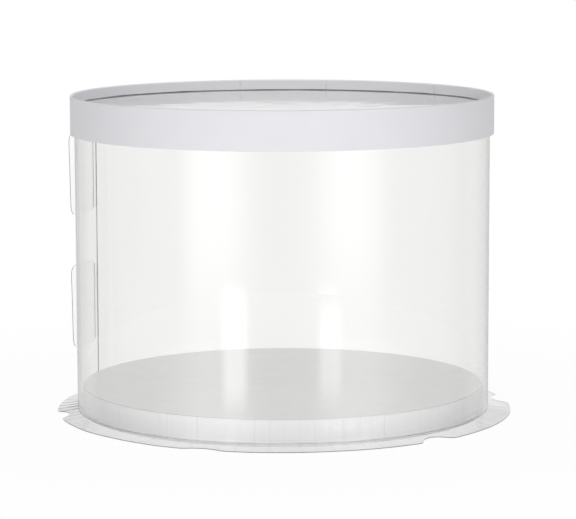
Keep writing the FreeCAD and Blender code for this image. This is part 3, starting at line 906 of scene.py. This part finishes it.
def within(value, spans):
    """Whether a value lies in one of the spans."""
    return any(low - 1e-7 <= value <= high + 1e-7 for low, high in spans)


def quad(mesh, left, right, low, finish=0):
    """A face between two columns of vertices, from one row to the next."""
    face = mesh.faces.new((left[low], right[low], right[low + 1], left[low + 1]))
    face.material_index = finish


def rolled_wall():
    """The clear wall: one sheet rolled on itself, slit twice, with a neck through each slit."""
    angles, slit_near, slit_far = wall_angles()
    slits = [(low + SLIT_EAR, high - SLIT_EAR) for low, high in TAB_SPANS.values()]
    necks = [(low + NECK_EAR, high - NECK_EAR) for low, high in TAB_SPANS.values()]
    stops = [WALL_FOOT, WALL_FOOT + FOOT_SHADE_HEIGHT, WALL_TOP]
    stops = sorted(stops + [*sum(slits, ()), *sum(necks, ())])
    heights = through(stops, WALL_ROW)
    middles = [(low + high) / 2 for low, high in zip(heights, heights[1:])]
    mesh = bmesh.new()

    def upright(x, y, wave_angle):
        """A column of vertices from the wall's foot to its top."""
        column = []
        for height in heights:
            swell = 1 + wall_wave(wave_angle, height) / WALL_RADIUS
            column.append(mesh.verts.new((x * swell, y * swell, height)))
        return column

    inside, outside = [], []
    for degrees in angles:
        angle = math.radians(degrees)
        near, far = wall_section(degrees)
        inside.append(upright(near * math.cos(angle), near * math.sin(angle), degrees))
        outside.append(upright(far * math.cos(angle), far * math.sin(angle), degrees))

    def is_open(left, row):
        """Whether the face right of this column, in this row, is cut out for a slit."""
        in_slit = slit_near - 1e-6 <= angles[left] < slit_far - 1e-6
        return in_slit and within(middles[row], slits)

    def rim(left, row):
        """A cut edge across the sheet's thickness, between two columns at one row."""
        corners = [inside[left][row], inside[left + 1][row]]
        if left == len(angles) - 2:
            corners.append(inside[0][row])
        face = mesh.faces.new(corners + [outside[left + 1][row], outside[left][row]])
        face.material_index = CUT

    for left in range(len(angles) - 1):
        for row in range(len(middles)):
            if is_open(left, row):
                continue
            quad(mesh, inside[left], inside[left + 1], row)
            # The lowest row's outer face takes the painted foot shade.
            quad(mesh, outside[left], outside[left + 1], row, 0 if row else FOOT)
            if row == 0 or is_open(left, row - 1):
                rim(left, row)
            if row == len(middles) - 1 or is_open(left, row + 1):
                rim(left, row + 1)
            for edge, beyond in ((left, left - 1), (left + 1, left + 1)):
                if 0 <= beyond < len(angles) - 1 and is_open(beyond, row):
                    quad(mesh, inside[edge], outside[edge], row, NECK)
    add_necks(mesh, upright, inside, heights, middles, necks)
    for vertex in [vertex for vertex in mesh.verts if not vertex.link_faces]:
        mesh.verts.remove(vertex)
    return thicken("rolled_wall", mesh, wall_clear, 50.0, 0.0)


def add_necks(mesh, upright, inside, heights, middles, necks):
    """Close the sheet's inner end, and lead it on through the slits as two necks."""
    section = neck_section()
    near = [inside[-1]] + [upright(point.x, point.y, 0.0) for point, other in section[1:]]
    far = [upright(point.x, point.y, 0.0) for other, point in section]
    for row, middle in enumerate(middles):
        if not within(middle, necks):
            ends = [inside[-1][row], inside[0][row], inside[0][row + 1], inside[-1][row + 1]]
            if within(heights[row], necks):
                ends.insert(1, far[0][row])
            if within(heights[row + 1], necks):
                ends.insert(-1, far[0][row + 1])
            mesh.faces.new(ends).material_index = CUT
            continue
        quad(mesh, far[0], inside[0], row, NECK)
        quad(mesh, near[-1], far[-1], row, NECK)
        for step in range(len(section) - 1):
            quad(mesh, near[step], near[step + 1], row, NECK)
            quad(mesh, far[step], far[step + 1], row, NECK)
            for level, beyond in ((row, row - 1), (row + 1, row + 1)):
                if not within(middles[beyond], necks):
                    corners = (near[step][level], near[step + 1][level])
                    face = mesh.faces.new(corners + (far[step + 1][level], far[step][level]))
                    face.material_index = NECK


TAB_ROWS = 14
TAB_STEP = 3 * MM
TAB_BOW = 0.15 * MM


def lock_tab(level):
    """A flap of sheet that stands off the wall outside its slit, round at its outer corners."""
    low, high = TAB_SPANS[level]
    top_curl, foot_curl = TAB_CURL[level]
    straight = TAB_LENGTH - TAB_ROUND
    lengths = spread(0.0, straight, TAB_STEP)
    lengths += [straight + TAB_ROUND * math.sin(math.radians(angle)) for angle in range(15, 91, 15)]
    mesh = bmesh.new()
    grid = []
    for length in lengths:
        into = max(0.0, length - straight)
        trim = TAB_ROUND - math.sqrt(max(0.0, TAB_ROUND ** 2 - into ** 2))
        column = []
        for height in spread(low + trim, high - trim, (high - low - 2 * trim) / TAB_ROWS):
            up = (height - low) / (high - low)
            curl = (foot_curl + (top_curl - foot_curl) * up) * (length / TAB_LENGTH) ** 2
            bow = TAB_BOW * noise.noise(Vector((length * 60, height * 40, 2.0)))
            place = (TAB_MIDDLE + curl + bow, SLIT_OFFSET + length, height)
            column.append(mesh.verts.new(place))
        grid.append(column)
    for left, right in zip(grid, grid[1:]):
        for row in range(TAB_ROWS):
            mesh.faces.new((left[row], right[row], right[row + 1], left[row + 1]))
    return thicken(level + "_tab_flap", mesh, flap_clear, 60.0, SHEET)


def dress(piece, body, stands_for):
    """Let a piece ride on a body and stand for its solid, which is hidden."""
    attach(piece, body)
    if stands_for:
        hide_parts(stands_for)


dress(lid_band(), "lid", "lid_band")
dress(lid_liner(), "lid", "lid_liner")
dress(lid_window(), "lid", "lid_window")
dress(rolled_wall(), "wall", "wall_sheet")
dress(lock_tab("upper"), "upper_tab", "upper_lock_tab")
dress(lock_tab("lower"), "lower_tab", "lower_lock_tab")
dress(platform_board(), "base", "platform_top")
dress(platform_strip(), "base", "platform_band")
dress(platform_hoop(), "base", "platform_hoop")
dress(brim_skirt(), "base", "brim")
dress(brim_teeth(), "base", None)


# Studio

AMBIENT = 0.40
ROOM = 0.49
LAMP_AIM = Vector((0, 0, 0.09))
TABLE_HALF = 8.0
TABLE_DROP = -0.02 * MM
TABLE_PAPER = (0.95, 0.95, 0.95, 1)
CAMERA_PLACE = (0.002806, -1.65274, 0.31625)
CAMERA_TILT, CAMERA_TURN, CAMERA_ROLL = 82.303, -0.02, -0.15
CAMERA_LENS = 168.35
CAMERA_SENSOR = 36.0


def soft_window(tree, value, rise, full, fade, gone):
    """One where an angle is between full and fade, falling softly to nothing outside."""
    up = between(tree, value, math.radians(rise), math.radians(full), 0, 1, "SMOOTHSTEP")
    down = between(tree, value, math.radians(fade), math.radians(gone), 1, 0, "SMOOTHSTEP")
    return maths(tree, "MULTIPLY", up, down)


def light_panel(tree, turn, lift, sides, ends, strength):
    """A soft-edged panel seen in reflections, by its sides and ends in degrees."""
    across = soft_window(tree, turn, *sides)
    upright = soft_window(tree, lift, *ends)
    return maths(tree, "MULTIPLY", maths(tree, "MULTIPLY", across, upright), strength)


def studio_world():
    """White behind everything, a grey room with soft panels in reflections, an even fill light."""
    world = bpy.data.worlds.new("studio")
    bpy.context.scene.world = world
    world.use_nodes = True
    tree = world.node_tree
    path = node(tree, "ShaderNodeLightPath").outputs
    towards = node(tree, "ShaderNodeSeparateXYZ", {
        0: node(tree, "ShaderNodeTexCoord").outputs["Generated"]})
    front = maths(tree, "MULTIPLY", towards.outputs["Y"], -1.0)
    turn = maths(tree, "ARCTAN2", towards.outputs["X"], front)
    back_turn = maths(tree, "ARCTAN2", towards.outputs["X"], towards.outputs["Y"])
    lift = maths(tree, "ARCSINE", towards.outputs["Z"])
    left_sides = (-64, -40, -36, -3)
    right_sides = (10, 36, 50, 66)
    panels = (
        light_panel(tree, turn, lift, left_sides, (-9.4, -6.4, 30, 50), 0.36),
        light_panel(tree, turn, lift, right_sides, (-9.4, -6.4, 30, 50), 0.36),
        light_panel(tree, turn, lift, left_sides, (-14.0, -11.5, 30, 50), 0.32),
        light_panel(tree, turn, lift, right_sides, (-14.0, -11.5, 30, 50), 0.32),
        light_panel(tree, turn, lift, (-85, -55, -25, -10), (-13.0, -10.5, -9.8, -9.2), 0.35),
        light_panel(tree, turn, lift, (12, 30, 55, 90), (-13.0, -10.5, -9.8, -9.2), 0.35),
        light_panel(tree, turn, lift, (-35, -29, -23, -17), (-11.2, -10.2, -8.9, -8.0), 1.7),
        light_panel(tree, turn, lift, (17, 23, 28, 35), (-11.2, -10.2, -9.2, -8.3), 1.1),
        light_panel(tree, turn, lift, (-36, -32, -26, -22), (-3.0, -1.5, 2.0, 3.5), 3.0),
        light_panel(tree, turn, lift, (24, 28, 48, 54), (-3.0, -1.5, 2.0, 3.5), 3.0),
        light_panel(tree, back_turn, lift, (-68, -42, 42, 68), (-30, -20, 0, 8), 0.22),
        light_panel(tree, back_turn, lift, (-9, -5, 5, 9), (-30, -20, 0, 6), 0.15),
        light_panel(tree, back_turn, lift, (-60, -30, 30, 60), (0, 3, 8, 13), 0.28))
    level = ROOM
    for panel in panels:
        level = maths(tree, "ADD", panel, level)
    mirrored = maths(tree, "MINIMUM", path["Glossy Depth"], 1.0)
    seen = between(tree, mirrored, 0.0, 1.0, 1.0, level)
    lighting = between(tree, path["Is Diffuse Ray"], 0.0, 1.0, seen, AMBIENT)
    tree.links.new(lighting, tree.nodes["Background"].inputs["Color"])


def soft_lamp(name, place, size, power):
    """A soft rectangular lamp aimed at the middle of the box."""
    data = bpy.data.lights.new(name, "AREA")
    data.shape = "RECTANGLE"
    data.size, data.size_y = size
    data.energy = power
    lamp = bpy.data.objects.new(name, data)
    bpy.context.scene.collection.objects.link(lamp)
    lamp.location = place
    aim = LAMP_AIM - Vector(place)
    lamp.rotation_euler = aim.to_track_quat("-Z", "Y").to_euler()
    lamp.visible_camera = False
    lamp.visible_glossy = False
    lamp.visible_transmission = False


def table():
    """A white table that shows white, keeps a faint shadow and lets mirrored views pass."""
    mesh = bpy.data.meshes.new("table")
    half = TABLE_HALF
    corners = [(-half, -half), (half, -half), (half, half), (-half, half)]
    mesh.from_pydata([(x, y, TABLE_DROP) for x, y in corners], [], [(0, 1, 2, 3)])
    top = new_piece("table", mesh)
    material, tree, shader = new_finish("white_table")
    tree.nodes.remove(shader)
    path = node(tree, "ShaderNodeLightPath").outputs
    paper = node(tree, "ShaderNodeBsdfDiffuse", {"Color": TABLE_PAPER})
    white = node(tree, "ShaderNodeEmission", {"Color": (1, 1, 1, 1), "Strength": 1.0})
    straight = maths(tree, "MAXIMUM", path["Is Camera Ray"], path["Is Transmission Ray"])
    coords = node(tree, "ShaderNodeTexCoord").outputs["Object"]
    distance = node(tree, "ShaderNodeVectorMath", {0: coords}, operation="LENGTH").outputs["Value"]
    fade = between(tree, distance, 0.16, 0.45, 0.91, 1.0, "SMOOTHSTEP")
    shown = node(tree, "ShaderNodeMixShader", {0: maths(tree, "MULTIPLY", straight, fade)})
    tree.links.new(paper.outputs[0], shown.inputs[1])
    tree.links.new(white.outputs[0], shown.inputs[2])
    beyond = node(tree, "ShaderNodeBsdfTransparent")
    mirrored = maths(tree, "MINIMUM", path["Glossy Depth"], 1.0)
    mirrored = maths(tree, "MULTIPLY", mirrored, maths(tree, "SUBTRACT", 1.0, path["Is Diffuse Ray"]))
    surface = node(tree, "ShaderNodeMixShader", {0: mirrored})
    tree.links.new(shown.outputs[0], surface.inputs[1])
    tree.links.new(beyond.outputs[0], surface.inputs[2])
    tree.links.new(surface.outputs[0], tree.nodes["Material Output"].inputs["Surface"])
    mesh.materials.append(material)


def photo_camera():
    """The camera at the photograph's place, found from the lid's and the brim's rims."""
    data = bpy.data.cameras.new("camera")
    data.sensor_width = CAMERA_SENSOR
    data.lens = CAMERA_LENS
    camera = bpy.data.objects.new("camera", data)
    bpy.context.scene.collection.objects.link(camera)
    pitch = Euler((math.radians(CAMERA_TILT), 0.0, math.radians(CAMERA_TURN))).to_matrix()
    roll = Matrix.Rotation(math.radians(CAMERA_ROLL), 3, "Z")
    camera.matrix_world = Matrix.LocRotScale(
        Vector(CAMERA_PLACE), (pitch @ roll).to_quaternion(), None)
    bpy.context.scene.camera = camera


studio_world()
table()
soft_lamp("left_front_lamp", (-0.54, -1.12, 0.45), (0.7, 0.9), 3.84)
soft_lamp("right_front_lamp", (0.56, -1.11, 0.45), (0.7, 0.9), 3.82)
soft_lamp("top_lamp", (0.0, 0.45, 1.38), (1.1, 1.1), 7.6)
photo_camera()
bpy.context.scene.view_settings.view_transform = "Standard"
